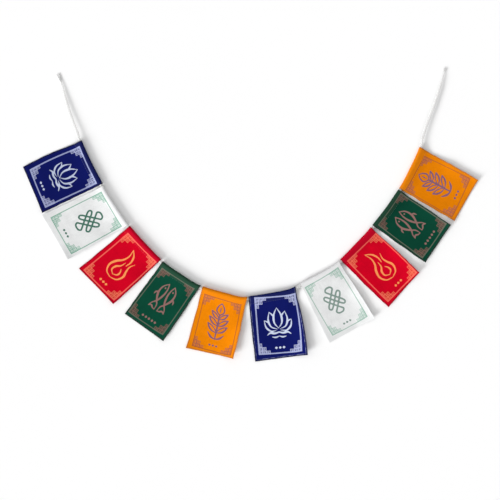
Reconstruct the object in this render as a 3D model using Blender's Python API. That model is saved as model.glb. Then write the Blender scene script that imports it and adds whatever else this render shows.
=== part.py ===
"""A string of ten small prayer flags, laid flat in a U.

Each flag is one piece of cloth. Its cord side is folded round the cord and back under itself as a sleeve,
and the rest of it lies out from the cord like the leaf of a fan. One cord runs through all ten sleeves and
ends in two free, bare ends. Metres, +Z up. It lies on the plane z = 0, with the middle of the flags at
x = y = 0.
"""
import math

import bmesh
import bpy
import numpy as np
from mathutils import Vector

MM = 0.001
UP = Vector((0.0, 0.0, 1.0))

# Cord
CORD_RADIUS = 1.75 * MM
CORD_POINTS = 80
CORD_COLOUR = (0.86, 0.85, 0.81)
SLEEVE_HEIGHT = 3.25  # height of the cord's centre inside the sleeves, in millimetres
FREE_HEIGHT = 1.85  # height of the cord's centre where it lies on the surface, in millimetres

# Cloth
CLOTH = 1.0 * MM
LAYER_GAP = 0.3 * MM
SLEEVE_CLEARANCE = 0.45 * MM
SLEEVE_TURN = math.radians(225.0)  # how far the cloth wraps round the cord
TURN_STEPS = 8
FLAP_END = 8.5 * MM  # how far the folded flap reaches under the flag, from the cord's centre
FLAP_MIDDLE = 4.2 * MM
LANDING = 7.0 * MM  # where the flag comes down onto the flap
STEP_END = 12.5 * MM  # where it has come down to the surface, beyond the flap
CURL_WIDTH = 0.32  # share of the flag's width over which a side curls up
CURL_FROM = 18.0 * MM  # the side curl starts here, from the cord
CURL_FULL = 58.0 * MM  # and is full here
FOOT_CURL = 18.0 * MM  # length over which a foot corner curls up
COLUMNS = (0.0, 0.07, 0.18, 0.32, 0.5, 0.68, 0.82, 0.93, 1.0)  # stations across the flag's width
ROWS = (0.2, 0.42, 0.64, 0.82, 0.93, 1.0)  # stations down the flag, from the step to the foot
CLOTH_ROUGHNESS = 0.85
CORD_ROUGHNESS = 0.9
CREASE_ANGLE = math.radians(50.0)

COLOURS = {
    "blue": (0.006, 0.008, 0.155),
    "white": (0.80, 0.83, 0.81),
    "red": (0.63, 0.004, 0.014),
    "green": (0.003, 0.090, 0.045),
    "orange": (0.94, 0.28, 0.003),
}

# The cord's route, in millimetres (x, y, height), from the left end to the right one.
# Three points lie in each sleeve, nearly in line, so that the cord bends most between the flags.
ROUTE = (
    (-249.0, 230.0, FREE_HEIGHT),
    (-242.0, 200.0, FREE_HEIGHT),
    (-232.5, 170.0, 2.4),
    (-219.0, 136.5, SLEEVE_HEIGHT),
    (-208.5, 113.5, SLEEVE_HEIGHT),
    (-197.0, 91.5, SLEEVE_HEIGHT),
    (-190.0, 77.5, SLEEVE_HEIGHT),
    (-177.0, 57.0, SLEEVE_HEIGHT),
    (-163.5, 37.0, SLEEVE_HEIGHT),
    (-154.5, 26.0, SLEEVE_HEIGHT),
    (-138.5, 8.0, SLEEVE_HEIGHT),
    (-122.0, -9.0, SLEEVE_HEIGHT),
    (-110.5, -19.5, SLEEVE_HEIGHT),
    (-91.5, -32.5, SLEEVE_HEIGHT),
    (-71.5, -45.0, SLEEVE_HEIGHT),
    (-57.0, -50.5, SLEEVE_HEIGHT),
    (-34.0, -57.0, SLEEVE_HEIGHT),
    (-11.0, -62.5, SLEEVE_HEIGHT),
    (3.5, -61.0, SLEEVE_HEIGHT),
    (28.5, -57.0, SLEEVE_HEIGHT),
    (53.0, -51.5, SLEEVE_HEIGHT),
    (71.0, -41.5, SLEEVE_HEIGHT),
    (91.5, -31.0, SLEEVE_HEIGHT),
    (111.0, -19.5, SLEEVE_HEIGHT),
    (122.5, -9.0, SLEEVE_HEIGHT),
    (138.5, 7.5, SLEEVE_HEIGHT),
    (154.5, 24.5, SLEEVE_HEIGHT),
    (164.0, 36.5, SLEEVE_HEIGHT),
    (178.0, 54.5, SLEEVE_HEIGHT),
    (191.0, 73.5, SLEEVE_HEIGHT),
    (198.5, 85.0, SLEEVE_HEIGHT),
    (209.5, 106.5, SLEEVE_HEIGHT),
    (219.5, 128.0, SLEEVE_HEIGHT),
    (231.0, 161.5, 2.5),
    (243.0, 193.5, FREE_HEIGHT),
    (255.5, 236.5, FREE_HEIGHT),
)

# One row for each flag, from the left end. Lengths in millimetres, leans in degrees.
# start, end: the cord's length at the flag's two sides. side_a, side_b: from the cord to the foot.
# lean_a, lean_b: how far each side leans from square to the cord, towards the right end.
# bow_a, bow_b: how far each side bulges outwards at its middle.
# lift_a, lift_b: how high each side curls up. foot_a, foot_b: how much higher its foot corner.
FLAG_COLUMNS = ("name", "start", "end", "side_a", "lean_a", "side_b", "lean_b",
                "bow_a", "bow_b", "lift_a", "lift_b", "foot_a", "foot_b")
FLAGS = (
    ("flag_01_blue", 92.3, 154.9, 80.6, 1.2, 83.8, 0.3, 1.6, 0.0, 0.8, 2.6, 0.6, 1.2),
    ("flag_02_white", 157.9, 218.2, 85.1, -0.8, 87.7, -9.5, 0.2, 0.4, 0.6, 2.4, 0.8, 1.6),
    ("flag_03_red", 220.6, 280.5, 83.2, -0.1, 81.6, -3.3, -0.3, 0.5, 0.4, 3.4, 0.6, 2.0),
    ("flag_04_green", 284.2, 342.8, 81.4, 6.1, 83.8, -12.9, 0.3, 0.3, 1.0, 3.0, 0.4, 1.4),
    ("flag_05_orange", 346.4, 406.2, 79.8, 3.6, 79.1, -20.0, -0.2, 0.6, 0.6, 4.0, 1.0, 1.8),
    ("flag_06_blue", 408.5, 471.3, 82.0, -3.0, 86.9, -18.5, 0.4, 1.8, 1.2, 4.6, 0.4, 1.2),
    ("flag_07_white", 479.7, 537.2, 83.1, -5.4, 84.5, -9.7, 0.3, 0.6, 0.6, 4.2, 0.8, 2.2),
    ("flag_08_red", 540.9, 598.7, 84.9, 1.0, 82.7, -4.7, 0.4, 0.8, 0.4, 3.8, 0.6, 2.6),
    ("flag_09_green", 602.6, 659.9, 81.0, 2.2, 78.8, 0.0, 0.2, 0.2, 0.8, 2.2, 1.0, 1.4),
    ("flag_10_orange", 661.8, 721.8, 80.2, 3.3, 84.1, -9.5, 0.2, 0.3, 0.8, 3.2, 1.6, 2.4),
)


def clear_scene():
    for old in list(bpy.data.objects):
        bpy.data.objects.remove(old, do_unlink=True)


def soft_material(name, colour, roughness):
    material = bpy.data.materials.new(name)
    material.use_nodes = True
    shader = material.node_tree.nodes["Principled BSDF"]
    shader.inputs["Base Color"].default_value = (*colour, 1.0)
    shader.inputs["Roughness"].default_value = roughness
    shader.inputs["Metallic"].default_value = 0.0
    return material


def add_object(name, data, colour, roughness):
    thing = bpy.data.objects.new(name, data)
    data.materials.append(soft_material(name, colour, roughness))
    bpy.context.scene.collection.objects.link(thing)
    return thing


def ease(value):
    """A smooth step from 0 to 1 as the value goes from 0 to 1."""
    value = min(max(value, 0.0), 1.0)
    return value * value * (3.0 - 2.0 * value)


class Route:
    """A smooth curve through points, read by the length along it."""

    STEPS = 24

    def __init__(self, points):
        points = [Vector(p) for p in points]
        before = points[0] * 2.0 - points[1]
        after = points[-1] * 2.0 - points[-2]
        points = [before, *points, after]
        found = []
        for index in range(1, len(points) - 2):
            for step in range(self.STEPS):
                found.append(self.between(points[index - 1:index + 3], step / self.STEPS))
        found.append(points[-2])
        self.points = np.array(found)
        steps = np.linalg.norm(np.diff(self.points, axis=0), axis=1)
        self.lengths = np.concatenate(([0.0], np.cumsum(steps)))
        self.length = float(self.lengths[-1])

    @staticmethod
    def between(four, share):
        """A point of the centripetal Catmull-Rom curve between the second and the third of four points."""
        first, second, third, fourth = four
        knot_1 = math.sqrt((second - first).length)
        knot_2 = knot_1 + math.sqrt((third - second).length)
        knot_3 = knot_2 + math.sqrt((fourth - third).length)
        knot = knot_1 + (knot_2 - knot_1) * share
        early = first.lerp(second, knot / knot_1)
        middle = second.lerp(third, share)
        late = third.lerp(fourth, (knot - knot_2) / (knot_3 - knot_2))
        return early.lerp(middle, knot / knot_2).lerp(
            middle.lerp(late, (knot - knot_1) / (knot_3 - knot_1)), share)

    def at(self, length):
        return Vector([float(np.interp(length, self.lengths, self.points[:, axis])) for axis in range(3)])

    def across(self, length):
        """The level direction square to the cord there, towards the outside of the U."""
        along = self.at(length + MM) - self.at(length - MM)
        return Vector((along.y, -along.x, 0.0)).normalized()


def make_cord(route):
    """The cord: one plain round tube through all the sleeves."""
    data = bpy.data.curves.new("cord", "CURVE")
    data.dimensions = "3D"
    data.bevel_depth = CORD_RADIUS
    data.bevel_resolution = 2
    data.use_fill_caps = True
    spline = data.splines.new("POLY")
    spline.points.add(CORD_POINTS - 1)
    for index, point in enumerate(spline.points):
        place = route.at(route.length * index / (CORD_POINTS - 1))
        point.co = (*place, 1.0)
    return add_object("cord", data, CORD_COLOUR, CORD_ROUGHNESS)


def flag_path(length):
    """The middle of the cloth, from the flap's end, round the cord and out to the foot.

    Pairs of (distance from the cord's centre towards the foot, height above the surface).
    """
    low = CLOTH / 2.0
    over_flap = CLOTH + LAYER_GAP + CLOTH / 2.0
    centre = SLEEVE_HEIGHT * MM
    radius = CORD_RADIUS + SLEEVE_CLEARANCE + CLOTH / 2.0
    path = [(FLAP_END, low), (FLAP_MIDDLE, low)]
    for step in range(TURN_STEPS + 1):
        angle = -math.pi / 2.0 - SLEEVE_TURN * step / TURN_STEPS
        path.append((radius * math.cos(angle), centre + radius * math.sin(angle)))
    shoulder, height = path[-1]
    path.append(((shoulder + LANDING) / 2.0, over_flap + (height - over_flap) / 4.0))
    path.append((LANDING, over_flap))
    path.append((FLAP_END + LAYER_GAP, over_flap))
    path.append(((FLAP_END + STEP_END) / 2.0, (over_flap + low) / 2.0))
    path.append((STEP_END, low))
    for share in ROWS:
        path.append((STEP_END + (length - STEP_END) * share, low))
    return path


def both_faces(path):
    """The (under, upper) points of a strip of cloth whose middle follows the path, mitred at its corners."""
    points = [Vector(place) for place in path]
    edges = [after - before for before, after in zip(points, points[1:])]
    normals = [Vector((-edge.y, edge.x)).normalized() for edge in edges]
    faces = []
    for index, point in enumerate(points):
        before = normals[max(index - 1, 0)]
        after = normals[min(index, len(normals) - 1)]
        mitre = (before + after).normalized()
        offset = mitre * (CLOTH / 2.0 / mitre.dot(before))
        faces.append((point - offset, point + offset))
    return faces


def lift(flag, across, down, length):
    """How high the cloth curls up at a share of the flag's width and a distance from the cord."""
    side = ease((down - CURL_FROM) / (CURL_FULL - CURL_FROM))
    foot = max(0.0, (down - length + FOOT_CURL) / FOOT_CURL) ** 2
    near_a = max(0.0, 1.0 - across / CURL_WIDTH) ** 2
    near_b = max(0.0, 1.0 - (1.0 - across) / CURL_WIDTH) ** 2
    height_a = near_a * (flag["lift_a"] * side + flag["foot_a"] * foot)
    height_b = near_b * (flag["lift_b"] * side + flag["foot_b"] * foot)
    return (height_a + height_b) * MM


def foot_corner(route, length, side, lean):
    """Where a flag's side ends, given its length in millimetres and its lean in degrees."""
    out = route.across(length)
    along = Vector((-out.y, out.x, 0.0))
    turn = math.radians(lean)
    start = route.at(length)
    start.z = 0.0
    return start + (out * math.cos(turn) + along * math.sin(turn)) * side * MM


def flag_column(route, flag, across, feet):
    """The (under, upper) points of one section of the flag, from the flap's end to the foot."""
    start = route.at((flag["start"] + (flag["end"] - flag["start"]) * across) * MM)
    start.z = 0.0
    foot = feet[0].lerp(feet[1], across)
    length = (foot - start).length
    down = (foot - start) / length
    sideways = (feet[1] - feet[0]).normalized()
    bow = (flag["bow_b"] * across - flag["bow_a"] * (1.0 - across)) * MM
    path = flag_path(length)
    column = []
    for middle, pair in zip(path, both_faces(path)):
        share = max(0.0, (middle[0] - STEP_END) / (length - STEP_END))
        bulge = sideways * bow * math.sin(math.pi * share)
        raised = lift(flag, across, middle[0], length)
        column.append([start + down * face.x + bulge + UP * (face.y + raised) for face in pair])
    return column


def close_strip(mesh, columns):
    """Faces under, over and round the four edges of a strip given as columns of (under, upper) points."""
    corners = [[[mesh.verts.new(place) for place in pair] for pair in column] for column in columns]
    last = len(corners[0]) - 1
    for left, right in zip(corners, corners[1:]):
        for row in range(last):
            for face in (0, 1):
                ends = (left[row][face], left[row + 1][face], right[row + 1][face], right[row][face])
                mesh.faces.new(ends)
        for row in (0, last):
            mesh.faces.new((left[row][0], left[row][1], right[row][1], right[row][0]))
    for column in (corners[0], corners[-1]):
        for row in range(last):
            mesh.faces.new((column[row][0], column[row][1], column[row + 1][1], column[row + 1][0]))
    bmesh.ops.recalc_face_normals(mesh, faces=mesh.faces)


def make_flag(route, flag):
    """One flag: a strip of cloth with its sleeve, swept across the flag's width."""
    feet = (
        foot_corner(route, flag["start"] * MM, flag["side_a"], flag["lean_a"]),
        foot_corner(route, flag["end"] * MM, flag["side_b"], flag["lean_b"]),
    )
    mesh = bmesh.new()
    close_strip(mesh, [flag_column(route, flag, across, feet) for across in COLUMNS])
    data = bpy.data.meshes.new(flag["name"])
    mesh.to_mesh(data)
    mesh.free()
    data.shade_smooth()
    data.set_sharp_from_angle(angle=CREASE_ANGLE)
    colour = flag["name"].rsplit("_", 1)[1]
    return add_object(flag["name"], data, COLOURS[colour], CLOTH_ROUGHNESS)


def main():
    clear_scene()
    route = Route([[value * MM for value in point] for point in ROUTE])
    for values in FLAGS:
        make_flag(route, dict(zip(FLAG_COLUMNS, values)))
    make_cord(route)


main()
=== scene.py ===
"""Looks of a string of ten small prayer flags: printed cotton flags, sewn round a twisted cotton cord.

Each flag is a thin sheet laid on its solid's folds, with its own curled sides, ripples and cut edges. Its
print is worked out from strokes and stored on the sheet, and the cloth's material inks it. Lengths in the
tables are in millimetres, and the meshes are in metres.
"""
import math

import bpy
import numpy as np
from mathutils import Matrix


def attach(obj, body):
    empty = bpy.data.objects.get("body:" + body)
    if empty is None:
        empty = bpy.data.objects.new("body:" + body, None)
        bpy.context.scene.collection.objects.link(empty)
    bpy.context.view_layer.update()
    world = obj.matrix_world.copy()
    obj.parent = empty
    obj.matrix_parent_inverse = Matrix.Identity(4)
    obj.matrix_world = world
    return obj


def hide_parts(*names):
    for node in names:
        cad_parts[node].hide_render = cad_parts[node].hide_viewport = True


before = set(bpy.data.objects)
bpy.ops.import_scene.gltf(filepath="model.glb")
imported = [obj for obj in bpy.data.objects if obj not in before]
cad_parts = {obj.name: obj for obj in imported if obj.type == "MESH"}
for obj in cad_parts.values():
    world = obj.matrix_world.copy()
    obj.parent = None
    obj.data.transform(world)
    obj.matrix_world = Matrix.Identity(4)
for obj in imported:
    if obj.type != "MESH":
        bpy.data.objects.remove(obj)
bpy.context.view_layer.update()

MM = 0.001
BODY = "root"

# Camera: straight above
PICTURE_WIDTH = 650.0  # how much of the surface the picture shows
PICTURE_CENTRE = (-0.6, 1.0)
LENS = 100.0
SENSOR = 36.0

# Light: a key light from the lower left, a broader one from the left, one overhead and a white surround.
# Angles are in degrees, and levels are of the light on a level white surface.
LIGHT_COLUMNS = ("azimuth", "height", "spread", "level")
LIGHTS = {
    "key": (222.0, 23.5, 22.0, 0.40),
    "side": (190.0, 30.0, 60.0, 0.09),
    "top": (0.0, 90.0, 110.0, 0.315),
}
SURROUND_LEVEL = 0.30
LIGHT_LEVEL = SURROUND_LEVEL + sum(level for *_, level in LIGHTS.values())
FLOOR_SIDE = 40.0  # metres
FLOOR_COLOUR = (0.90, 0.90, 0.90)

# Cord: three loosely twisted strands, wider than high
CORD_RADIUS = 1.75
CORD_WIDEN = 1.12  # its width against a round cord's
CORD_FLATTEN = 0.68  # its height in the sleeves against a round cord's
SLEEVE_HEIGHT = 3.25  # height of the cord's centre in the sleeves, as in the solid
SLEEVE_RISE = 0.85  # how much higher it lies here
FREE_HEIGHT = 1.85  # height of its centre where it lies on the surface
STRANDS = 3
STRAND_RADIUS = 1.02
STRAND_OFFSET = CORD_RADIUS - STRAND_RADIUS
STRAND_SIDES = 8  # steps across the part of a strand that shows
TWIST_PITCH = 9.5
CORD_STEP = 0.7
CORD_PATH_POINTS = 160
CORD_SCATTER = 9.0  # how far light spreads inside it
YARN_DEPTH = 0.08

# The cord bows off the solid's route where it is free. One row for each end: the free length, how far it
# lies inwards, how far its tip turns outwards again, how high it bows up, over what length from the tip,
# and its height against a round cord's
FREE_COLUMNS = ("length", "inward", "turned", "lift", "rise", "flatten")
FREE_PARTS = {
    "left": (92.3, 1.3, 2.6, 1.5, 34.0, 0.42),
    "right": (109.0, 2.7, 0.0, 2.5, 14.0, 0.50),
}
TIP_GAP = 0.06  # between the cord's tips and the surface
TURN_REACH = 21.0  # from the tip to where it starts to turn outwards
MOUTH_DEPTH = 1.5  # how far inside the sleeve it starts to leave the route
MOUTH_STEP = 14.0  # over what length

# The cord's ends are worn thin and have come apart into two tips with loose fibres. One row for each end:
# over what length it parts, how far apart its tips are, over what length it thins, how thick the longer tip
# is against the cord, and how many fibres stand out of it
END_COLUMNS = ("length", "spread", "thins", "thickness", "fibres")
CORD_ENDS = {
    "left": (16.0, 3.2, 46.0, 0.45, 14),
    "right": (9.0, 2.2, 34.0, 0.50, 12),
}
LONGER_TIP_SHARE = 0.4  # of the spread; the second tip takes the rest
TIP_RADII = (0.3, 0.85, 0.45)  # of the second tip, at its root, its middle and its end
TIP_REACH = (1.1, 0.08)  # where it starts and ends, in shares of the parted length
TIP_POINTS = 14
FIBRE_RADIUS = 0.09
FIBRE_POINTS = 6
FIBRE_ROOT = 1.2  # how far inside the tip a fibre starts
FIBRE_LENGTHS = (0.5, 1.9)
FIBRE_HEIGHTS = (-0.3, 0.5)  # above the middle of the tip
FIBRE_SPLAY = 0.7  # how far aside it may aim, against ahead
FIBRE_BEND = 0.25
FIBRE_OFFSET = 0.4
TUBE_SIDES = 6  # of fibres, the second tips and sewing thread

# The cord's route (x, y, height), from the left end to the right one, as in the solid
ROUTE = (
    (-249.0, 230.0, FREE_HEIGHT),
    (-242.0, 200.0, FREE_HEIGHT),
    (-232.5, 170.0, 2.4),
    (-219.0, 136.5, SLEEVE_HEIGHT),
    (-208.5, 113.5, SLEEVE_HEIGHT),
    (-197.0, 91.5, SLEEVE_HEIGHT),
    (-190.0, 77.5, SLEEVE_HEIGHT),
    (-177.0, 57.0, SLEEVE_HEIGHT),
    (-163.5, 37.0, SLEEVE_HEIGHT),
    (-154.5, 26.0, SLEEVE_HEIGHT),
    (-138.5, 8.0, SLEEVE_HEIGHT),
    (-122.0, -9.0, SLEEVE_HEIGHT),
    (-110.5, -19.5, SLEEVE_HEIGHT),
    (-91.5, -32.5, SLEEVE_HEIGHT),
    (-71.5, -45.0, SLEEVE_HEIGHT),
    (-57.0, -50.5, SLEEVE_HEIGHT),
    (-34.0, -57.0, SLEEVE_HEIGHT),
    (-11.0, -62.5, SLEEVE_HEIGHT),
    (3.5, -61.0, SLEEVE_HEIGHT),
    (28.5, -57.0, SLEEVE_HEIGHT),
    (53.0, -51.5, SLEEVE_HEIGHT),
    (71.0, -41.5, SLEEVE_HEIGHT),
    (91.5, -31.0, SLEEVE_HEIGHT),
    (111.0, -19.5, SLEEVE_HEIGHT),
    (122.5, -9.0, SLEEVE_HEIGHT),
    (138.5, 7.5, SLEEVE_HEIGHT),
    (154.5, 24.5, SLEEVE_HEIGHT),
    (164.0, 36.5, SLEEVE_HEIGHT),
    (178.0, 54.5, SLEEVE_HEIGHT),
    (191.0, 73.5, SLEEVE_HEIGHT),
    (198.5, 85.0, SLEEVE_HEIGHT),
    (209.5, 106.5, SLEEVE_HEIGHT),
    (219.5, 128.0, SLEEVE_HEIGHT),
    (231.0, 161.5, 2.5),
    (243.0, 193.5, FREE_HEIGHT),
    (255.5, 236.5, FREE_HEIGHT),
)

# Cloth
CLOTH = 0.5  # its thickness
CELL = 0.9  # size of the sheet's faces
LOW = 0.32  # height of the middle of the cloth where it lies on the surface
SLEEVE_MIDDLE = SLEEVE_HEIGHT + SLEEVE_RISE
SLEEVE_RADIUS = 2.55  # half the sleeve's width
SLEEVE_TOP = 1.6  # from its middle up
SLEEVE_BOTTOM = 3.4  # and down
SLEEVE_TURN = math.radians(213.0)  # how far the cloth turns round the cord
TURN_STEPS = 8
SEAM = 7.3  # the row of stitches, from the cord
# The cloth's middle under the sleeve and over it, as (distance from the cord, height)
FLAP = ((8.6, 2.1), (SEAM, 2.45), (5.4, 1.75), (3.4, 0.95))
OVER_FLAP = ((4.4, 4.2), (SEAM, 3.0), (10.0, 2.25), (16.0, 1.3), (24.0, 0.65), (32.0, LOW))
STEP_END = 12.5  # where the sides start to bow and the ripples to rise
CURL_WIDTH = 0.40  # share of the flag's width over which a side curls up
CURL_FROM = 10.0  # from the cord to where a side starts to curl
CURL_FULL = 48.0  # and to where it is fully curled
FOOT_CURL = 18.0  # length over which the foot curls up
RIPPLE = 0.55  # height of the broad ripples
PUCKER = 0.22  # height of the short puckers below the seam
PUCKER_REACH = 7.0
FOOT_TRIM = 0.5  # how far the cloth reaches past the solid's foot
EDGE_WANDER = 0.35  # how far a cut edge strays from its line
EDGE_REACH = 3.0  # and how far into the cloth that shows
SHARP_ANGLE = 55.0  # edges that fold more than this, in degrees, are shaded sharp

# The cloth's unevenness: how many waves make it up, and the shortest and the longest of them
WAVES = {
    "foot": (4, 5.0, 30.0),
    "ripple": (4, 22.0, 60.0),
    "pucker": (3, 3.5, 6.5),
    "side": (4, 4.0, 24.0),
}

# Thread and seam
THREAD_PITCH = 0.62  # between the cloth's threads
THREAD_DEPTH = 0.10  # of the relief that its threads make
STITCH_PITCH = 3.0
STITCH_LENGTH = 2.35
STITCH_MARGIN = 1.6  # from the cut sides
STITCH_SHIFT = 0.15  # how far a stitch may lie from its place along the seam
STITCH_STRAY = 0.12  # and across it, and how far it slants
STITCH_SINK = 0.14  # how far its ends sink into the cloth
STITCH_BOW = 0.26
STITCH_POINTS = 7
THREAD_RADIUS = 0.17
STITCH_TWIST_DEPTH = 0.04

# One row for each flag, from the left end. As in the solids: where it starts and ends along the cord, the
# length and the lean, in degrees, of its sides a, at its start, and b, at its end, and how far they bow out.
# Then how high its sides curl up, and how high its foot does at side a, all along it and at side b.
FLAG_COLUMNS = ("number", "colour", "start", "end", "side_a", "lean_a", "side_b", "lean_b",
                "bow_a", "bow_b", "lift_a", "lift_b", "foot_a", "foot", "foot_b")
FLAGS = (
    ("01", "blue", 92.3, 154.9, 80.6, 1.2, 83.8, 0.3, 1.6, 0.0, 0.8, 2.6, 0.6, 0.2, 1.2),
    ("02", "white", 157.9, 218.2, 85.1, -0.8, 87.7, -9.5, 0.2, 0.4, 0.6, 2.4, 0.8, 0.3, 1.6),
    ("03", "red", 220.6, 280.5, 83.2, -0.1, 81.6, -3.3, -0.3, 0.5, 0.4, 3.4, 0.6, 0.3, 2.0),
    ("04", "green", 284.2, 342.8, 81.4, 6.1, 83.8, -12.9, 0.3, 0.3, 1.0, 3.0, 0.4, 0.2, 1.4),
    ("05", "orange", 346.4, 406.2, 79.8, 3.6, 79.1, -20.0, -0.2, 0.6, 0.6, 6.4, 1.0, 0.4, 1.8),
    ("06", "blue", 408.5, 471.3, 82.0, -3.0, 86.9, -18.5, 0.4, 1.8, 1.2, 6.4, 0.4, 0.2, 1.2),
    ("07", "white", 479.7, 537.2, 83.1, -5.4, 84.5, -9.7, 0.3, 0.6, 0.6, 3.5, 0.8, 0.4, 1.8),
    ("08", "red", 540.9, 598.7, 84.9, 1.0, 82.7, -4.7, 0.4, 0.8, 0.4, 3.2, 0.6, 1.8, 2.2),
    ("09", "green", 602.6, 659.9, 81.0, 2.2, 78.8, 0.0, 0.2, 0.2, 0.8, 2.8, 1.0, 2.6, 1.4),
    ("10", "orange", 661.8, 721.8, 80.2, 3.3, 84.1, -9.5, 0.2, 0.3, 0.8, 3.0, 1.6, 0.9, 0.0),
)

# Each flag's print: the middle of its frame, across from the flag's middle and down from the cord, its width
# and height, how many degrees its top line turns and its side lines lean, and by what share it grows over a
# growth span across and down, as the cloth is pulled out of square
PRINT_COLUMNS = ("x", "y", "width", "height", "turn", "lean", "grows_across", "grows_down")
GROWTH_SPAN = 100.0
PRINTS = {
    "01": (0.9, 40.1, 53.6, 73.9, 2.6, 0.3, 0.06, -0.05),
    "02": (1.7, 42.5, 53.9, 75.4, 3.0, 0.3, 0.01, -0.06),
    "03": (1.7, 41.8, 54.9, 75.7, -1.9, -0.6, -0.02, -0.01),
    "04": (-0.9, 39.6, 52.4, 73.6, 0.0, -0.9, 0.02, 0.05),
    "05": (0.9, 40.6, 51.4, 69.4, 0.7, 1.3, -0.06, 0.0),
    "06": (1.3, 40.3, 55.5, 75.6, 5.6, -2.8, 0.0, -0.06),
    "07": (-0.8, 42.5, 51.4, 74.0, -1.3, 1.2, 0.06, -0.15),
    "08": (2.0, 43.3, 53.4, 75.3, 1.6, -0.6, -0.04, -0.01),
    "09": (0.9, 37.5, 53.3, 73.1, -1.0, -0.5, -0.02, 0.06),
    "10": (-0.7, 39.2, 53.5, 69.5, 0.8, 1.5, -0.10, 0.11),
}

# The print: a framed panel with stepped fret corners, a motif in the middle and a short row of lozenges
FRAME_WIDTH = 53.5
FRAME_HEIGHT = 74.0
CORNER_STEP = 4.9  # side of one of a fret corner's squares
CORNER_STEPS = 3  # how many squares a fret corner has along each side
SQUARE_LINE = 0.33  # from a square's middle to its outline, in shares of its side
KEY_RING = (0.05, 0.23)  # from its middle to the inside and the outside of the ring in it
KEY_GAP = 0.07  # half the gap in that ring
KEY_SOFTNESS = 0.03
MOTIF_RISE = 4.6  # how far the motif stands above the frame's middle
LOZENGE_ROW = 29.0  # how far the lozenges lie below it
LOZENGE_PITCH = 4.6
LOZENGE_SIZE = 1.9
INK_REACH = 3.0  # how far outside the ink its distance is kept
INK_WOBBLE = 0.45  # how ragged the ink's edge is
INK_SOFTNESS = 0.16
OUTLINE_INSET = 1.8  # from the cut edge to a rubbed outline
DOT_STEP = 0.35  # between the dots that make up a stroke

# Motif strokes. Each is (width at its start, at its middle, at its end, points), with x across and y down
# from the motif's middle. Symmetric motifs list one half.
LOTUS = (
    (0.7, 2.6, 0.7, ((0.0, 8.6), (-4.6, 1.4), (-4.4, -8.4), (0.0, -17.4))),
    (0.7, 2.4, 0.7, ((-1.6, 9.6), (-9.0, 6.0), (-11.8, -2.6), (-9.8, -12.6))),
    (0.7, 1.8, 0.7, ((-9.8, -12.6), (-6.4, -8.8), (-4.6, -4.4))),
    (0.7, 2.4, 0.7, ((-2.4, 11.2), (-9.6, 11.6), (-15.0, 6.6), (-16.8, -2.2))),
    (0.7, 1.6, 0.7, ((-16.8, -2.2), (-13.6, -0.6), (-11.2, 2.0))),
    (1.6, 2.8, 0.8, ((0.0, 13.4), (-5.0, 14.8), (-10.6, 14.0), (-14.6, 16.8))),
    (0.9, 2.0, 0.9, ((0.0, 18.6), (-4.4, 20.0), (-8.6, 19.2))),
)
FLAME = (
    (1.0, 3.0, 0.8, ((0.4, 23.4), (-7.8, 20.4), (-11.8, 12.0), (-9.4, 3.2), (-4.6, -3.8), (-2.6, -12.0),
                     (-4.8, -22.0))),
    (1.0, 2.8, 0.8, ((0.4, 23.4), (8.4, 20.0), (11.6, 11.6), (9.0, 3.8), (8.0, -2.8), (10.6, -10.4))),
    (0.8, 2.4, 1.0, ((-4.8, -22.0), (1.8, -16.0), (4.6, -8.0), (3.8, -0.4))),
    (0.9, 2.6, 0.8, ((0.0, 18.4), (-5.2, 14.4), (-4.6, 8.4), (-0.8, 3.4), (0.4, -3.6))),
    (0.9, 2.2, 0.8, ((0.0, 18.4), (4.8, 14.8), (4.8, 10.0), (2.4, 6.0))),
)
FISH = (
    (1.2, 2.8, 1.0, ((-4.4, -19.0), (-9.8, -12.0), (-10.6, -2.0), (-6.2, 8.0), (-2.8, 13.0), (-2.0, 20.0))),
    (1.2, 2.6, 1.0, ((-4.4, -19.0), (-2.4, -11.0), (-2.6, -2.0), (-5.6, 8.0), (-9.6, 13.6), (-11.6, 19.0))),
    (1.0, 2.2, 1.0, ((-11.6, 19.0), (-8.0, 16.8), (-5.6, 18.8), (-2.0, 20.0))),
    (0.8, 2.2, 0.8, ((-10.4, -4.0), (-13.6, -1.0), (-14.6, 3.0))),
    (2.2, 2.2, 2.2, ((-6.0, -11.6), (-6.0, -11.0))),
)
PLANT = (
    (1.6, 2.6, 2.0, ((0.0, 24.0), (0.0, 8.0), (0.0, -10.0))),
    (1.4, 2.2, 1.4, ((0.0, -9.0), (5.2, -14.6), (4.2, -20.6), (0.0, -26.0))),
    (1.0, 1.6, 1.0, ((0.0, -13.0), (0.0, -17.0), (0.0, -20.6))),
    (1.0, 2.4, 1.6, ((0.4, -3.4), (5.4, -5.0), (9.0, -8.4), (11.4, -13.4))),
    (1.0, 1.8, 1.6, ((0.4, -4.6), (3.8, -9.0), (7.4, -11.6), (11.4, -13.4))),
    (1.0, 2.6, 1.8, ((0.4, 6.0), (6.2, 4.0), (10.4, 0.2), (13.0, -5.0))),
    (1.0, 1.8, 1.6, ((0.4, 4.6), (4.2, -0.4), (8.4, -3.4), (13.0, -5.0))),
    (1.0, 2.6, 1.8, ((0.4, 15.6), (6.4, 13.6), (10.6, 9.8), (13.2, 4.6))),
    (1.0, 1.8, 1.6, ((0.4, 14.2), (4.4, 9.2), (8.6, 6.2), (13.2, 4.6))),
    (1.4, 3.0, 1.0, ((0.0, 24.6), (5.4, 22.6), (11.2, 16.6))),
)
KNOT_SPACING = 5.2  # between neighbouring bands of the knot
KNOT_REACH = 9.4  # from the middle of a band to the bend at its end
KNOT_BEND = 3.7  # how far that bend reaches
# Points of a bend, in shares of its reach and of half the spacing
KNOT_BENDS = ((0.0, -1.0), (0.8, -0.66), (1.0, 0.0), (0.8, 0.66), (0.0, 1.0))
# Points of an end loop: share of the x of the corner where it starts, and how far past that corner
KNOT_LOOP = ((1.75, 3.0), (1.1, 5.8), (0.0, 6.4))
KNOT_WIDTH = 2.2
KNOT_RISE = 1.12  # its height against its width

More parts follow.
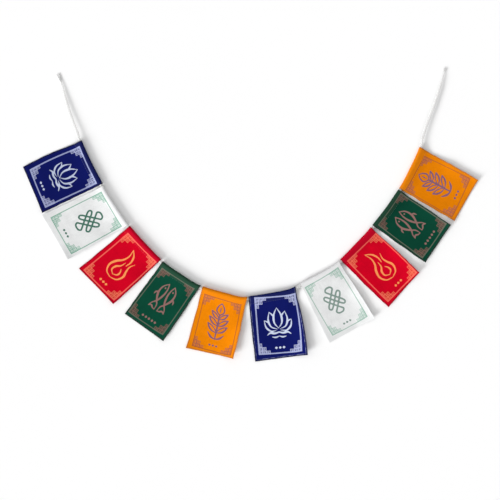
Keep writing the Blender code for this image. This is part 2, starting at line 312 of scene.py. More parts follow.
# Colours as they look in this light, as red, green and blue up to 255: the cloth; its cut edges, a painted
# edge shade (a painted highlight on white); its sleeve, painted shade and highlight of the rounded fold; the
# motif's ink and the inks of the frame's line and of its corners; then the line's width, and how much of the
# edges' painted shade shows
LOOK_COLUMNS = ("cloth", "edge", "sleeve", "ink", "line_ink", "corner_ink", "line_width", "edge_painted_shade_share")
LOOKS = {
    "blue": ((14, 22, 93), (32, 33, 62), (26, 32, 84),
             (216, 226, 248), (172, 180, 219), (186, 192, 226), 1.7, 0.85),
    "white": ((231, 232, 232), (239, 239, 240), (231, 231, 232),
              (20, 98, 76), (128, 174, 154), (142, 185, 166), 1.2, 0.35),
    "red": ((206, 1, 33), (150, 12, 34), (187, 6, 38),
            (255, 164, 94), (244, 106, 92), (240, 120, 90), 1.5, 0.75),
    "green": ((10, 70, 52), (48, 58, 51), (40, 72, 55),
              (152, 111, 107), (100, 106, 92), (122, 90, 82), 1.3, 0.85),
    "orange": ((241, 136, 3), (178, 110, 50), (231, 131, 13),
               (112, 90, 126), (180, 98, 44), (168, 98, 84), 1.2, 0.60),
}

# How each flag differs from the others of its colour: how light its cloth is, how light its sleeve is, which
# for some flags is painted light against the shade that falls on its fold, how strong its ink is, and how
# strong a rubbed outline is printed near its cut edges
WEAR_COLUMNS = ("shade", "sleeve_tone_and_painted_light", "ink", "outline")
WEAR = {
    "01": (0.97, 0.97, 0.80, 0.0),
    "02": (1.00, 1.00, 1.00, 0.0),
    "03": (1.00, 1.00, 1.00, 0.0),
    "04": (1.04, 1.04, 1.00, 0.0),
    "05": (1.00, 1.00, 0.94, 0.0),
    "06": (1.08, 1.08, 1.00, 1.0),
    "07": (0.99, 0.99, 0.78, 0.0),
    "08": (1.00, 1.02, 0.92, 0.0),
    "09": (0.86, 0.90, 0.96, 0.0),
    "10": (0.87, 1.02, 0.96, 0.0),
}

# The cord's colours, linear: the darker and the paler yarns and the painted shade in the grooves between the
# strands; then how much light scatters inside it
CORD_LOOKS = {
    "cord": ((0.55, 0.55, 0.54), (0.64, 0.64, 0.63), (0.48, 0.47, 0.46), 1.0),
    "loose_cord": ((0.84, 0.84, 0.83), (0.93, 0.93, 0.92), (0.80, 0.80, 0.79), 0.0),
}


def row(columns, values):
    return dict(zip(columns, values))


def linear(colour):
    """The linear colour, with an alpha of 1, of a surface that looks like this in the scene's light."""
    shares = [value / 255.0 for value in colour]
    light = [s / 12.92 if s <= 0.04045 else ((s + 0.055) / 1.055) ** 2.4 for s in shares]
    return (*[value / LIGHT_LEVEL for value in light], 1.0)


def ease(value):
    """A smooth step from 0 to 1 as the value goes from 0 to 1."""
    value = np.clip(value, 0.0, 1.0)
    return value * value * (3.0 - 2.0 * value)


def unit(vectors):
    return vectors / np.linalg.norm(vectors, axis=-1, keepdims=True)


class Route:
    """A smooth curve through points, read by the length along it."""

    STEPS = 24

    def __init__(self, points):
        points = np.array(points, float)
        before = points[0] * 2.0 - points[1]
        after = points[-1] * 2.0 - points[-2]
        points = np.vstack((before, points, after))
        shares = np.arange(self.STEPS)[:, None] / self.STEPS
        found = [self.between(points[i - 1:i + 3], shares) for i in range(1, len(points) - 2)]
        self.points = np.vstack((*found, points[-2]))
        steps = np.linalg.norm(np.diff(self.points, axis=0), axis=1)
        self.lengths = np.concatenate(([0.0], np.cumsum(steps)))
        self.length = float(self.lengths[-1])

    @staticmethod
    def between(four, share):
        """Points of the centripetal Catmull-Rom curve between the second and the third of four points."""
        first, second, third, fourth = four
        knot_1 = math.sqrt(np.linalg.norm(second - first))
        knot_2 = knot_1 + math.sqrt(np.linalg.norm(third - second))
        knot_3 = knot_2 + math.sqrt(np.linalg.norm(fourth - third))
        knot = knot_1 + (knot_2 - knot_1) * share

        def part(start, end, amount):
            return start + (end - start) * amount

        early = part(first, second, knot / knot_1)
        middle = part(second, third, share)
        late = part(third, fourth, (knot - knot_2) / (knot_3 - knot_2))
        return part(part(early, middle, knot / knot_2),
                    part(middle, late, (knot - knot_1) / (knot_3 - knot_1)), share)

    def at(self, lengths):
        columns = [np.interp(lengths, self.lengths, column) for column in self.points.T]
        return np.stack(columns, axis=-1)

    def along(self, lengths):
        return unit(self.at(lengths + 1.0) - self.at(lengths - 1.0))

    def across(self, lengths):
        """The level direction square to the cord there, towards the outside of the U."""
        along = self.at(lengths + 1.0) - self.at(lengths - 1.0)
        return unit(np.stack((along[..., 1], -along[..., 0], np.zeros_like(along[..., 0])), axis=-1))


def add_mesh(name, places, faces, material):
    """A smooth mesh object from places in millimetres."""
    data = bpy.data.meshes.new(name)
    data.from_pydata((np.asarray(places) * MM).tolist(), [], faces)
    data.validate()
    data.shade_smooth()
    data.materials.append(material)
    thing = bpy.data.objects.new(name, data)
    bpy.context.scene.collection.objects.link(thing)
    return thing


def store(thing, name, values, kind="FLOAT_VECTOR"):
    """Keeps a number or three for each vertex as a named attribute, for the material to read."""
    attribute = thing.data.attributes.new(name, kind, "POINT")
    field = "vector" if kind == "FLOAT_VECTOR" else "value"
    attribute.data.foreach_set(field, np.asarray(values, np.float32).ravel())


def tube_faces(first, rings, sides):
    """The faces round a tube whose rings of places follow each other from the first place."""
    faces = []
    for here in range(first, first + (rings - 1) * sides, sides):
        for point in range(sides):
            after = (point + 1) % sides
            there = here + sides
            faces.append((here + point, here + after, there + after, there + point))
    return faces


class Graph:
    """A material's nodes. Its methods add to them and return an output. Values are numbers or outputs."""

    def __init__(self, name):
        self.material = bpy.data.materials.new(name)
        self.material.use_nodes = True
        self.nodes = self.material.node_tree.nodes
        self.links = self.material.node_tree.links
        self.shader = self.nodes["Principled BSDF"]

    def feed(self, socket, value):
        if isinstance(value, bpy.types.NodeSocket):
            self.links.new(value, socket)
        else:
            socket.default_value = value

    def node(self, kind, inputs=(), **settings):
        """A new node, with its settings and with its inputs as pairs of (socket, value)."""
        node = self.nodes.new("ShaderNode" + kind)
        for name, value in settings.items():
            setattr(node, name, value)
        for socket, value in inputs:
            self.feed(node.inputs[socket], value)
        return node

    def math(self, operation, *values):
        return self.node("Math", enumerate(values), operation=operation).outputs[0]

    def plus(self, total, *values):
        for value in values:
            total = self.math("ADD", total, value)
        return total

    def minus(self, first, second):
        return self.math("SUBTRACT", first, second)

    def times(self, product, *values):
        for value in values:
            product = self.math("MULTIPLY", product, value)
        return product

    def size(self, value):
        """The value without its sign."""
        return self.math("ABSOLUTE", value)

    def attribute(self, name):
        """The attribute as a vector, and its three values."""
        vector = self.node("Attribute", attribute_name=name).outputs["Vector"]
        return vector, *self.node("SeparateXYZ", [(0, vector)]).outputs

    def value(self, name):
        """The attribute as one number."""
        return self.node("Attribute", attribute_name=name).outputs["Fac"]

    def stretched(self, vector, x, y):
        inputs = ((0, vector), (1, (x, y, 1.0)))
        return self.node("VectorMath", inputs, operation="MULTIPLY").outputs[0]

    def noise(self, vector, scale, detail=2.0):
        inputs = (("Vector", vector), ("Scale", scale), ("Detail", detail))
        return self.node("TexNoise", inputs).outputs[0]

    def step(self, value, low, high, first=0.0, second=1.0):
        """Goes smoothly from first to second as the value goes from low to high."""
        inputs = enumerate((value, low, high, first, second))
        return self.node("MapRange", inputs, interpolation_type="SMOOTHSTEP").outputs[0]

    def mix(self, share, first, second):
        """A colour between two colours."""
        inputs = ((0, share), (6, first), (7, second))
        return self.node("Mix", inputs, data_type="RGBA").outputs[2]

    def bump(self, height, depth, strength):
        inputs = (("Distance", depth * MM), ("Strength", strength), ("Height", height))
        return self.node("Bump", inputs).outputs[0]

    def finished(self, **inputs):
        """The material, once its shader has these inputs, named with _ for a space."""
        for name, value in inputs.items():
            self.feed(self.shader.inputs[name.replace("_", " ")], value)
        return self.material


def shaded(colour, amount):
    """A linear colour made lighter or darker."""
    return (*[min(value * amount, 1.0) for value in colour[:3]], 1.0)


def weave(graph, x, y):
    """Height of a plain weave: at each crossing the warp or the weft is on top."""
    warp = graph.math("SINE", graph.times(x, math.pi / THREAD_PITCH))
    weft = graph.math("SINE", graph.times(y, math.pi / THREAD_PITCH))
    over = graph.math("GREATER_THAN", graph.times(warp, weft), 0.0)
    under = graph.minus(1.0, over)
    return graph.plus(graph.times(graph.size(warp), over), graph.times(graph.size(weft), under))


def inked_frame(graph, p, q, wobble, line_width):
    """How much the frame's line covers a place in the print, and how much its fret corners do."""
    soft = INK_SOFTNESS
    inset_x = graph.minus(FRAME_WIDTH / 2.0, graph.size(p))
    inset_y = graph.minus(FRAME_HEIGHT / 2.0, graph.size(q))
    ragged = graph.plus(graph.math("MINIMUM", inset_x, inset_y), wobble)
    inside = graph.step(ragged, -soft, soft)
    line = graph.step(ragged, line_width - soft, line_width + soft, 1.0, 0.0)
    steps_x = graph.math("DIVIDE", inset_x, CORNER_STEP)
    steps_y = graph.math("DIVIDE", inset_y, CORNER_STEP)
    stair = graph.plus(graph.math("FLOOR", steps_x), graph.math("FLOOR", steps_y))
    corner = graph.math("LESS_THAN", stair, CORNER_STEPS - 0.5)
    cell_x = graph.minus(graph.math("FRACT", steps_x), 0.5)
    cell_y = graph.minus(graph.math("FRACT", steps_y), 0.5)
    ring = graph.math("MAXIMUM", graph.size(cell_x), graph.size(cell_y))
    edge_line = graph.step(ring, SQUARE_LINE, SQUARE_LINE + KEY_SOFTNESS)
    inner, outer = KEY_RING
    key = graph.times(graph.step(ring, inner, inner + KEY_SOFTNESS),
                      graph.step(ring, outer, outer + KEY_SOFTNESS, 1.0, 0.0))
    gap = graph.times(graph.math("GREATER_THAN", cell_x, 0.0),
                      graph.math("LESS_THAN", graph.size(cell_y), KEY_GAP))
    key = graph.times(key, graph.minus(1.0, gap))
    fret = graph.times(corner, graph.math("MAXIMUM", edge_line, key))
    return graph.times(inside, line), graph.times(inside, fret)


def cloth_material(number, name):
    """Woven, printed cloth of one flag, with painted shade and highlight on its sleeve band and its cut
    edges.
    """
    look = row(LOOK_COLUMNS, LOOKS[name])
    wear = row(WEAR_COLUMNS, WEAR[number])
    graph = Graph(f"cloth_{number}_{name}")
    place, x, y, edge = graph.attribute("cloth")
    _, p, q, ink = graph.attribute("print")
    front = graph.value("front")

    height = weave(graph, x, y)
    slub_x = graph.noise(graph.stretched(place, 0.16, 1.7), 1.0)
    slub_y = graph.noise(graph.stretched(place, 1.7, 0.16), 1.0)
    patch = graph.noise(place, 0.07, 3.0)
    fibre = graph.noise(place, 3.2, 1.0)
    # The weave's height also sets the tone, lighter on the thread crowns and darker between them: partly
    # painted shade of the weave
    tone = graph.plus(graph.times(slub_x, 0.30), graph.times(slub_y, 0.30),
                      graph.times(patch, 0.50), graph.times(height, 0.16))
    tone = graph.step(tone, 0.35, 0.95)
    cloth = shaded(linear(look["cloth"]), wear["shade"])
    colour = graph.mix(tone, shaded(cloth, 0.88), shaded(cloth, 1.12))

    # The sleeve band takes its own colour: painted shade and highlight of the rounded fold round the cord
    sleeve = graph.step(y, SEAM - 2.2, SEAM + 0.6, 0.85, 0.0)
    colour = graph.mix(sleeve, colour, shaded(linear(look["sleeve"]), wear["sleeve_tone_and_painted_light"]))
    # Painted shade along the cut edges: the edges' colour darkens the cloth there (on white cloth it is a
    # painted highlight)
    ragged_edge_distance = graph.plus(edge, graph.times(fibre, 0.9))
    painted_edge_shading = graph.step(ragged_edge_distance, 0.9, 3.0, look["edge_painted_shade_share"], 0.0)
    colour = graph.mix(painted_edge_shading, colour, shaded(linear(look["edge"]), wear["shade"]))

    wobble = graph.times(graph.minus(graph.noise(place, 1.1, 2.0), 0.5), INK_WOBBLE)
    thin = graph.step(graph.noise(place, 2.2, 2.0), 0.30, 0.52, 0.72, 0.97)
    strength = graph.times(thin, graph.step(front, 0.4, 0.6, 0.28, 1.0), wear["ink"])
    line, fret = inked_frame(graph, p, q, wobble, look["line_width"])
    if wear["outline"]:
        from_edge = graph.size(graph.minus(edge, OUTLINE_INSET))
        rubbed = graph.step(graph.noise(place, 0.16, 2.0), 0.40, 0.62, 0.10, 0.55 * wear["outline"])
        outline = graph.times(graph.step(from_edge, 0.15, 0.5, 1.0, 0.0), rubbed)
        line = graph.math("MAXIMUM", line, outline)
    motif = graph.step(graph.plus(ink, wobble), -INK_SOFTNESS, INK_SOFTNESS)
    for cover, name_of_ink in ((fret, "corner_ink"), (line, "line_ink"), (motif, "ink")):
        fresh = linear(look[name_of_ink])
        inked = graph.mix(tone, shaded(fresh, 0.92), shaded(fresh, 1.06))
        colour = graph.mix(graph.times(cover, strength), colour, inked)

    relief = graph.plus(height, graph.times(graph.plus(slub_x, slub_y), 1.4))
    return graph.finished(Base_Color=colour, Roughness=graph.step(fibre, 0.3, 0.7, 0.78, 0.93),
                          Specular_IOR_Level=0.02, Sheen_Weight=0.01, Sheen_Roughness=0.6,
                          Normal=graph.bump(relief, THREAD_DEPTH, 0.5))


def thread_material(name):
    """Sewing thread, a little paler than its cloth, with a fine twist."""
    look = row(LOOK_COLUMNS, LOOKS[name])
    graph = Graph("thread_" + name)
    place, along, around, _ = graph.attribute("thread")
    twist = graph.math("SINE", graph.plus(graph.times(along, 12.0), around))
    mottle = graph.noise(place, 1.3, 2.0)
    share = graph.plus(graph.times(twist, 0.25), mottle)
    cloth = linear(look["cloth"])
    paler = tuple(value + (0.85 - value) * 0.10 for value in cloth[:3])
    colour = graph.mix(share, shaded(cloth, 0.8), (*paler, 1.0))
    return graph.finished(Base_Color=colour, Roughness=graph.step(mottle, 0.3, 0.7, 0.55, 0.75),
                          Normal=graph.bump(twist, STITCH_TWIST_DEPTH, 0.5))


def cord_material(name):
    """Off-white cotton: fine yarns that slant across each strand, and painted shade in the grooves."""
    dark, pale, painted_groove_shade, scatter = CORD_LOOKS[name]
    graph = Graph(name)
    place, along, around, depth = graph.attribute("yarn")
    yarns = graph.math("SINE", graph.plus(graph.times(along, 5.2), graph.times(around, 9.0)))
    mottle = graph.noise(graph.stretched(place, 0.35, 1.0), 1.2, 3.0)
    tone = graph.plus(graph.times(yarns, 0.14), mottle)
    colour = graph.mix(graph.step(tone, 0.25, 0.8), (*dark, 1.0), (*pale, 1.0))
    # Painted shade: the grooves between the strands take a darker colour
    colour = graph.mix(graph.step(depth, 0.0, 0.55, 0.30, 0.0), colour, (*painted_groove_shade, 1.0))
    return graph.finished(Base_Color=colour, Roughness=graph.step(mottle, 0.3, 0.7, 0.8, 0.95),
                          Specular_IOR_Level=0.1, Sheen_Weight=0.35, Subsurface_Weight=scatter,
                          Subsurface_Radius=(1.0, 1.0, 1.0), Subsurface_Scale=CORD_SCATTER * MM,
                          Normal=graph.bump(yarns, YARN_DEPTH, 0.6))


def floor_material():
    graph = Graph("floor")
    place = graph.nodes.new("ShaderNodeTexCoord").outputs["Object"]
    mottle = graph.noise(place, 3.0, 2.0)
    colour = graph.mix(mottle, (*FLOOR_COLOUR, 1.0), shaded(FLOOR_COLOUR, 1.01))
    return graph.finished(Base_Color=colour, Roughness=0.9, Specular_IOR_Level=0.1)


def make_camera():
    data = bpy.data.cameras.new("camera")
    data.lens = LENS
    data.sensor_width = SENSOR
    camera = bpy.data.objects.new("camera", data)
    height = PICTURE_WIDTH * LENS / SENSOR
    camera.location = (PICTURE_CENTRE[0] * MM, PICTURE_CENTRE[1] * MM, height * MM)
    bpy.context.scene.collection.objects.link(camera)
    bpy.context.scene.camera = camera


def strand_section():
    """One turn of the cord's outline: (radius, angle, angle within the strand) for each of its points."""
    reach = math.pi / STRANDS
    section = []
    for strand in range(STRANDS):
        for step in range(STRAND_SIDES):
            within = reach * (2.0 * step / STRAND_SIDES - 1.0)
            across = STRAND_OFFSET * math.sin(within)
            radius = STRAND_OFFSET * math.cos(within) + math.sqrt(STRAND_RADIUS ** 2 - across ** 2)
            section.append((radius, 2.0 * reach * strand + within, within))
    return np.array(section)


class CordLine:
    """The middle of the cord, which bows off the route where it is free and parts near its ends."""

    def __init__(self, route):
        self.route = route
        self.free = [row(FREE_COLUMNS, values) for values in FREE_PARTS.values()]
        self.ends = [row(END_COLUMNS, values) for values in CORD_ENDS.values()]

    def to_ends(self, lengths):
        return lengths, self.route.length - lengths

    @staticmethod
    def free_share(part, to_end):
        """From 0 inside the sleeves to 1 where the cord is free."""
        return ease((part["length"] + MOUTH_DEPTH - to_end) / MOUTH_STEP)

    def whole(self, lengths):
        """The middle of the cord as if it did not part at its ends."""
        inward = np.zeros_like(lengths)
        lift = np.full_like(lengths, SLEEVE_RISE)
        for to_end, part in zip(self.to_ends(lengths), self.free):
            out = self.free_share(part, to_end)
            turned = np.maximum(0.0, 1.0 - to_end / TURN_REACH) ** 1.5
            inward += part["inward"] * out - part["turned"] * turned
            lying = CORD_RADIUS * part["flatten"] + TIP_GAP - FREE_HEIGHT
            bowed = part["lift"] + (lying - part["lift"]) * np.exp(-to_end / part["rise"])
            lift += out * (bowed - SLEEVE_RISE)
        middle = self.route.at(lengths) - self.route.across(lengths) * inward[..., None]
        return middle + np.array((0.0, 0.0, 1.0)) * lift[..., None]

    def parting(self, lengths):
        """How far each end has parted at a place on the cord, from 0 where it is whole to 1 at its tip."""
        return [ease(1.0 - to_end / end["length"])
                for to_end, end in zip(self.to_ends(lengths), self.ends)]

    def at(self, lengths):
        places = self.whole(lengths)
        for share, end in zip(self.parting(lengths), self.ends):
            aside = share * end["spread"] * LONGER_TIP_SHARE
            places = places - self.route.across(lengths) * aside[..., None]
        return places

    def flatten(self, lengths):
        """The cord's height against a round cord's."""
        height = np.full_like(lengths, CORD_FLATTEN)
        for to_end, part in zip(self.to_ends(lengths), self.free):
            height += (part["flatten"] - CORD_FLATTEN) * self.free_share(part, to_end)
        return height

    def thickness(self, lengths):
        thickness = np.ones_like(lengths)
        for to_end, end in zip(self.to_ends(lengths), self.ends):
            thickness -= (1.0 - end["thickness"]) * ease(1.0 - to_end / end["thins"])
        return thickness


def make_cord(line, material):
    """Three strands twisted together, as one closed tube along the route."""
    radii, angles, within = strand_section().T
    route = line.route
    rings = int(round(route.length / CORD_STEP)) + 1
    lengths = np.linspace(0.0, route.length, rings)
    thickness = line.thickness(lengths)[:, None, None]
    along = route.along(lengths)
    side = route.across(lengths)
    up = np.cross(side, along)
    turned = angles[None, :] + 2.0 * math.pi * lengths[:, None] / TWIST_PITCH
    flatten = line.flatten(lengths)[:, None, None]
    wide = side[:, None] * (radii * np.cos(turned))[..., None] * thickness * CORD_WIDEN
    high = up[:, None] * (radii * np.sin(turned))[..., None] * thickness * flatten
    places = line.at(lengths)[:, None] + wide + high
    count = len(radii)
    places = np.vstack((places.reshape(-1, 3), line.at(lengths[:1]), line.at(lengths[-1:])))
    start, end = rings * count, rings * count + 1
    faces = []
    for point in range(count):
        after = (point + 1) % count
        faces.append((start, after, point))
        faces.append((end, (rings - 1) * count + point, (rings - 1) * count + after))
    faces += tube_faces(0, rings, count)
    cord = add_mesh("twisted_cord", places, faces, material)
    depth = (radii - radii.min()) / (radii.max() - radii.min())
    yarn = np.stack(np.broadcast_arrays(lengths[:, None], within[None, :], depth[None, :]), axis=-1)
    store(cord, "yarn", np.vstack((yarn.reshape(-1, 3), (0.0, 0.0, 0.5), (route.length, 0.0, 0.5))))
    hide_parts("cord")
    return cord


def make_cord_end(line, name, material):
    """One end's second tip, which has parted from the cord, and the loose fibres of both tips."""
    end = row(END_COLUMNS, CORD_ENDS[name])
    random = np.random.default_rng(len(name))
    route = line.route
    start, stop = TIP_REACH
    away = np.linspace(end["length"] * start, end["length"] * stop, TIP_POINTS)
    lengths = away if name == "left" else route.length - away
    share = ease(1.0 - away / end["length"])
    side = route.across(lengths)
    apart = share * end["spread"] * (1.0 - LONGER_TIP_SHARE)
    tip = line.whole(lengths) + side * apart[:, None]
    radius = np.interp(share, (0.0, 0.5, 1.0), TIP_RADII)
    paths, radii = [tip], [radius]
    outward = route.along(lengths[-1:])[0] * (-1.0 if name == "left" else 1.0)
    for fibre in range(end["fibres"]):
        root = tip[-1] if fibre % 2 else line.at(lengths[-1:])[0]
        aim = unit(outward + side[-1] * random.uniform(-FIBRE_SPLAY, FIBRE_SPLAY))
        bend = side[-1] * random.uniform(-FIBRE_BEND, FIBRE_BEND)
        steps = np.linspace(-FIBRE_ROOT, random.uniform(*FIBRE_LENGTHS), FIBRE_POINTS)[:, None]
        aside = side[-1] * random.uniform(-FIBRE_OFFSET, FIBRE_OFFSET)
        path = root + aside + aim * steps + bend * steps ** 2 / 3.0
        path[:, 2] = np.maximum(path[:, 2] + random.uniform(*FIBRE_HEIGHTS), FIBRE_RADIUS)
        paths.append(path)
        radii.append(FIBRE_RADIUS)
    places, faces, marks = tubes(paths, radii)
    piece = add_mesh("cord_end_" + name, places, faces, material)
    store(piece, "yarn", marks + (0.0, 0.0, 1.0))
    return piece


def sleeve_profile():
    """The middle of the cloth from the flap's end round the cord to where it lies flat.

    Gives pairs of (distance from the cord's centre towards the foot, height), even steps apart, and how far
    each is down the flag, counted along the cloth so that it goes on as the distance from the cord.
    """
    points = list(FLAP)
    for step in range(TURN_STEPS + 1):
        angle = -math.pi / 2.0 - SLEEVE_TURN * step / TURN_STEPS
        reach = SLEEVE_TOP if math.sin(angle) > 0.0 else SLEEVE_BOTTOM
        points.append((SLEEVE_RADIUS * math.cos(angle), SLEEVE_MIDDLE + reach * math.sin(angle)))
    points.extend(OVER_FLAP)
    curve = Route([(distance, height, 0.0) for distance, height in points])
    steps = int(round(curve.length / CELL))
    lengths = np.linspace(0.0, curve.length, steps + 1)
    return curve.at(lengths)[:, :2], points[-1][0] - (curve.length - lengths)


def foot_corner(route, length, side, lean):
    """Where a flag's side ends on the surface."""
    out = route.across(length)
    along = np.array((-out[1], out[0], 0.0))
    turn = math.radians(lean)
    return route.at(length) * (1.0, 1.0, 0.0) + (out * math.cos(turn) + along * math.sin(turn)) * side


def waves(random, name):
    """A smooth random function of a place on the cloth, from 0 to 1."""
    count, shortest, longest = WAVES[name]
    lengths = random.uniform(shortest, longest, count)
    turns = random.uniform(0.0, math.pi, count)
    phases = random.uniform(0.0, 2.0 * math.pi, count)

    def height(x, y):
        total = 0.0
        for length, turn, phase in zip(lengths, turns, phases):
            along = x * math.cos(turn) + y * math.sin(turn)
            total = total + np.sin(along * 2.0 * math.pi / length + phase)
        return 0.5 + 0.5 * total / count

    return height


class Sheet:
    """One flag's cloth, as a grid of places with normals: the first index goes across, the second down."""

    def __init__(self, route, flag):
        self.random = np.random.default_rng(int(flag["number"]))
        profile, sleeve_down = sleeve_profile()
        feet = [foot_corner(route, flag["start"], flag["side_a"], flag["lean_a"]),
                foot_corner(route, flag["end"], flag["side_b"], flag["lean_b"])]
        foot_width = np.linalg.norm(feet[1] - feet[0])
        self.width = (flag["end"] - flag["start"] + foot_width) / 2.0
        shares = np.linspace(0.0, 1.0, int(round(self.width / CELL)) + 1)
        starts = route.at(flag["start"] + (flag["end"] - flag["start"]) * shares) * (1.0, 1.0, 0.0)
        outs = feet[0] + (feet[1] - feet[0]) * shares[:, None] - starts
        foot = waves(self.random, "foot")(shares * self.width, 0.0)
        lengths = np.linalg.norm(outs, axis=1) + FOOT_TRIM + EDGE_WANDER * (foot - 0.5)
        outs = unit(outs)
        self.length = float(lengths.mean())
        flat_from = profile[-1, 0]
        rows = int(round((self.length - flat_from) / CELL))
        beyond = flat_from + (lengths[:, None] - flat_from) * np.arange(1, rows + 1) / rows
        sleeve = np.broadcast_to(profile[:, 0], (len(shares), len(profile)))
        distance = np.hstack((sleeve, beyond))
        level = np.concatenate((profile[:, 1], np.full(rows, LOW)))
        self.down = np.hstack((np.broadcast_to(sleeve_down, sleeve.shape), beyond))
        self.x = np.broadcast_to(((shares - 0.5) * self.width)[:, None], self.down.shape)
        across = shares[:, None]
        sideways = unit(feet[1] - feet[0])
        share = np.clip((distance - STEP_END) / (lengths[:, None] - STEP_END), 0.0, 1.0)
        bow = (flag["bow_b"] * across - flag["bow_a"] * (1.0 - across)) * np.sin(math.pi * share)
        bow = bow + self.wander(across)
        height = level + self.lift(flag, across, distance, lengths[:, None]) + self.ripple()
        self.places = (starts[:, None] + outs[:, None] * distance[..., None]
                       + sideways * bow[..., None] + np.array((0.0, 0.0, 1.0)) * height[..., None])
        self.normals = self.find_normals()
        self.edge = np.minimum(np.minimum(self.width / 2.0 - np.abs(self.x), lengths[:, None] - self.down),
                               self.down - sleeve_down[0])

    def find_normals(self):
        across = np.gradient(self.places, axis=0)
        down = np.gradient(self.places, axis=1)
        return unit(np.cross(down, across))

    @staticmethod
    def lift(flag, across, down, length):
        """How high the cloth curls up, at a share of the flag's width and a distance from the cord."""
        side = ease((down - CURL_FROM) / (CURL_FULL - CURL_FROM))
        foot = np.maximum(0.0, (down - length + FOOT_CURL) / FOOT_CURL) ** 2
        near_a = np.maximum(0.0, 1.0 - across / CURL_WIDTH) ** 2
        near_b = np.maximum(0.0, 1.0 - (1.0 - across) / CURL_WIDTH) ** 2
        return (near_a * (flag["lift_a"] * side + flag["foot_a"] * foot)
                + near_b * (flag["lift_b"] * side + flag["foot_b"] * foot) + flag["foot"] * foot)

    def ripple(self):
        """Slack in the cloth: broad ripples, and short puckers that start at the seam."""
        slack = waves(self.random, "ripple")(self.x, self.down)
        from_step = ease((self.down - STEP_END) / 10.0)
        puckers = waves(self.random, "pucker")(self.x, self.x * 0.4)
        near_seam = np.exp(-np.abs(self.down - STEP_END) / PUCKER_REACH) * (self.down > SEAM)
        return RIPPLE * slack * from_step + PUCKER * puckers * near_seam * ease((self.down - SEAM) / 3.0)

    def wander(self, across):
        """How far the cut sides stray from a straight line."""
        near_a = np.exp(-across * self.width / EDGE_REACH)
        near_b = np.exp(-(1.0 - across) * self.width / EDGE_REACH)
        side_a = waves(self.random, "side")(self.down, 0.0) - 0.5
        side_b = waves(self.random, "side")(self.down, 0.0) - 0.5
        return EDGE_WANDER * 2.0 * (near_a * side_a + near_b * side_b)

    def find(self, x, down):
        """Places and normals at distances across from the flag's middle and down from the cord."""
        column = np.interp(x, self.x[:, 0], np.arange(len(self.x)))
        first = np.minimum(column.astype(int), len(self.x) - 2)
        rows = np.array([np.interp(d, self.down[c], np.arange(self.down.shape[1]))
                         for d, c in zip(down, first)])
        second = np.minimum(rows.astype(int), self.down.shape[1] - 2)
        right = (column - first)[:, None]
        below = (rows - second)[:, None]

        def read(grid):
            top = grid[first, second] * (1.0 - right) + grid[first + 1, second] * right
            bottom = grid[first, second + 1] * (1.0 - right) + grid[first + 1, second + 1] * right
            return top * (1.0 - below) + bottom * below

        return read(self.places), unit(read(self.normals))


def knot_strokes():
    """Half of an endless knot: three slanting bands, the bends that join their ends, and half its loops."""
    root = math.sqrt(0.5)
    half = KNOT_SPACING / 2.0

    def place(along, aside):
        return ((along - aside) * root, (along + aside) * root * KNOT_RISE)

    strokes = [[place(share * KNOT_REACH, aside) for share in (-1.0, 0.0, 1.0)]
               for aside in (-KNOT_SPACING, 0.0, KNOT_SPACING)]
    for end in (1.0, -1.0):
        strokes.append([place(end * (KNOT_REACH + out * KNOT_BEND), half * (aside - end))
                        for out, aside in KNOT_BENDS])
        x, y = place(end * KNOT_REACH, end * KNOT_SPACING)
        strokes.append([(x, y), *[(x * share, y + end * past) for share, past in KNOT_LOOP]])
    return [(KNOT_WIDTH, KNOT_WIDTH, KNOT_WIDTH, points) for points in strokes]


# One row for each colour: the motif's strokes, whether they are mirrored, and how many lozenges lie below it
MOTIFS = {
    "blue": (LOTUS, True, 3),
    "white": (knot_strokes(), True, 3),
    "red": (FLAME, False, 3),
    "green": (FISH, True, 5),
    "orange": (PLANT, True, 3),
}


def dots(strokes, mirrored):
    """The strokes as rows of (x, y, radius), close enough together to give smooth edges."""
    rows = []
    for start, middle, end, points in strokes:
        curve = Route([(x, y, 0.0) for x, y in points])
        lengths = np.arange(0.0, curve.length, DOT_STEP)
        share = lengths / curve.length
        width = np.interp(share, (0.0, 0.5, 1.0), (start, middle, end))
        places = curve.at(lengths)[:, :2]
        rows.append(np.column_stack((places, width / 2.0)))
        if mirrored:
            rows.append(np.column_stack((places * (-1.0, 1.0), width / 2.0)))
    return np.vstack(rows)


def ink_distance(colour, p, q):
    """How deep inside the ink of the motif or the lozenges a place in the print is; negative outside."""
    strokes, mirrored, lozenges = MOTIFS[colour]
    ink = np.full(p.shape, -INK_REACH)
    for x, y, radius in dots(strokes, mirrored):
        np.maximum(ink, radius - np.hypot(p - x, q + MOTIF_RISE - y), out=ink)
    for index in range(lozenges):
        x = (index - (lozenges - 1) / 2.0) * LOZENGE_PITCH
        np.maximum(ink, (LOZENGE_SIZE - np.abs(p - x) - np.abs(q - LOZENGE_ROW)) * math.sqrt(0.5), out=ink)
    return ink


def print_places(number, x, down):
    """Each place's coordinates in the print, in which the frame has its standard size."""
    place = row(PRINT_COLUMNS, PRINTS[number])
    turn = math.radians(place["turn"])
    lean = math.radians(place["lean"])
    across = np.array((math.cos(turn), math.sin(turn))) * place["width"] / FRAME_WIDTH
    along = np.array((math.sin(lean), math.cos(lean))) * place["height"] / FRAME_HEIGHT
    to_print = np.linalg.inv(np.column_stack((across, along)))
    offset = np.stack((x - place["x"], down - place["y"]), axis=-1)
    growth = 1.0 + offset @ (place["grows_across"], place["grows_down"]) / GROWTH_SPAN
    return np.moveaxis(offset @ to_print.T / growth[..., None], -1, 0)


